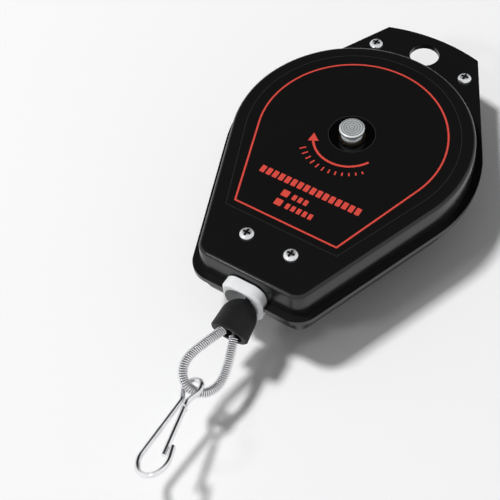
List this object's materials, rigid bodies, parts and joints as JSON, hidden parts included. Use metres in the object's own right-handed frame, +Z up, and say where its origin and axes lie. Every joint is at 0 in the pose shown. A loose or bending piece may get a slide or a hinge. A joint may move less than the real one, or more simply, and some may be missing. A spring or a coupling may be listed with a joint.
{
  "type": "spring tool balancer",
  "caption": "Spring balancer: a flat case with a spring-driven rope drum holds a hand tool on a pull-out steel rope with a snap hook.",
  "frame": {"origin": "centre of the hanging hole, on the plane where the two covers meet", "axes": "+Z up as it hangs from its hole, front face with the shaft's head towards -Y, +X to the right seen from the front"},
  "size_m": [0.108, 0.0333, 0.238],
  "materials": {
    "black_case": "gloss",
    "label": "satin",
    "zinc": "polished",
    "steel": "satin",
    "spring_steel": "satin",
    "rope_steel": "stranded",
    "brass": "satin",
    "drum": "cast",
    "nylon": "satin",
    "rubber": "matte",
    "hook_chrome": "polished"
  },
  "bodies": {
    "housing": {"front_cover": "black_case", "rear_cover": "black_case", "front_label": "label", "lug_screws": "zinc", "lug_nuts": "zinc", "foot_screws": "zinc", "foot_nuts": "zinc", "foot_spacers": "steel", "front_bush": "brass", "rear_bush": "brass", "rope_guide": "nylon", "pawl_rivet": "steel", "spring_peg": "steel", "pawl_spring": "spring_steel", "rope_lead": "rope_steel", "rope_run": "rope_steel"},
    "adjuster": {"centre_shaft": "steel", "spring_arbor": "steel", "arbor_pin": "steel", "ratchet_wheel": "steel", "shaft_clip": "spring_steel"},
    "drum": {"rope_drum": "drum", "drum_cover": "steel", "drum_bush": "brass", "wound_rope": "rope_steel", "spiral_spring": "spring_steel"},
    "pawl": {"pawl": "steel"},
    "rope_end": {"rope_stopper": "rubber", "rope_ferrule": "drum", "rope_eye": "rope_steel", "eye_guard": "hook_chrome"},
    "hook": {"snap_hook": "hook_chrome"},
    "gate": {"hook_gate": "hook_chrome"}
  },
  "joints": [
    {"name": "rope_pull", "type": "slide", "parent": "housing", "child": "rope_end", "axis": [0, 0, -1], "range_m": [0, 1], "stiffness_N_per_m": 9.8, "springref_m": -0.5, "deforming": ["rope_run", "rope_lead"]},
    {"name": "drum_spin", "type": "hinge", "parent": "housing", "child": "drum", "pos_m": [0, 0, -0.065], "axis": [0, 1, 0], "range_deg": [-1640, 1], "deforming": ["spiral_spring"]},
    {"name": "tension_adjust", "type": "hinge", "parent": "housing", "child": "adjuster", "pos_m": [0, 0, -0.065], "axis": [0, 1, 0], "range_deg": [0, 720]},
    {"name": "pawl_lift", "type": "hinge", "parent": "housing", "child": "pawl", "pos_m": [-0.00796, 0, -0.04828], "axis": [0, -1, 0], "range_deg": [0, 12], "stiffness_Nm_per_rad": 0.02, "springref_deg": -11.46, "deforming": ["pawl_spring"]},
    {"name": "hook_swing", "type": "hinge", "parent": "rope_end", "child": "hook", "pos_m": [0.00247, 0.00534, -0.18864], "axis": [0.7578, 0.633, 0.1582], "range_deg": [-75, 75]},
    {"name": "gate_open", "type": "hinge", "parent": "hook", "child": "gate", "pos_m": [0.00501, 0.0045, -0.19705], "axis": [0.4211, 0.9063, 0.0361], "range_deg": [0, 18], "stiffness_Nm_per_rad": 0.05, "springref_deg": -5.73}
  ],
  "couplings": [
    {"joint": "drum_spin", "follows": "rope_pull", "rad_per_m": -28.571}
  ]
}
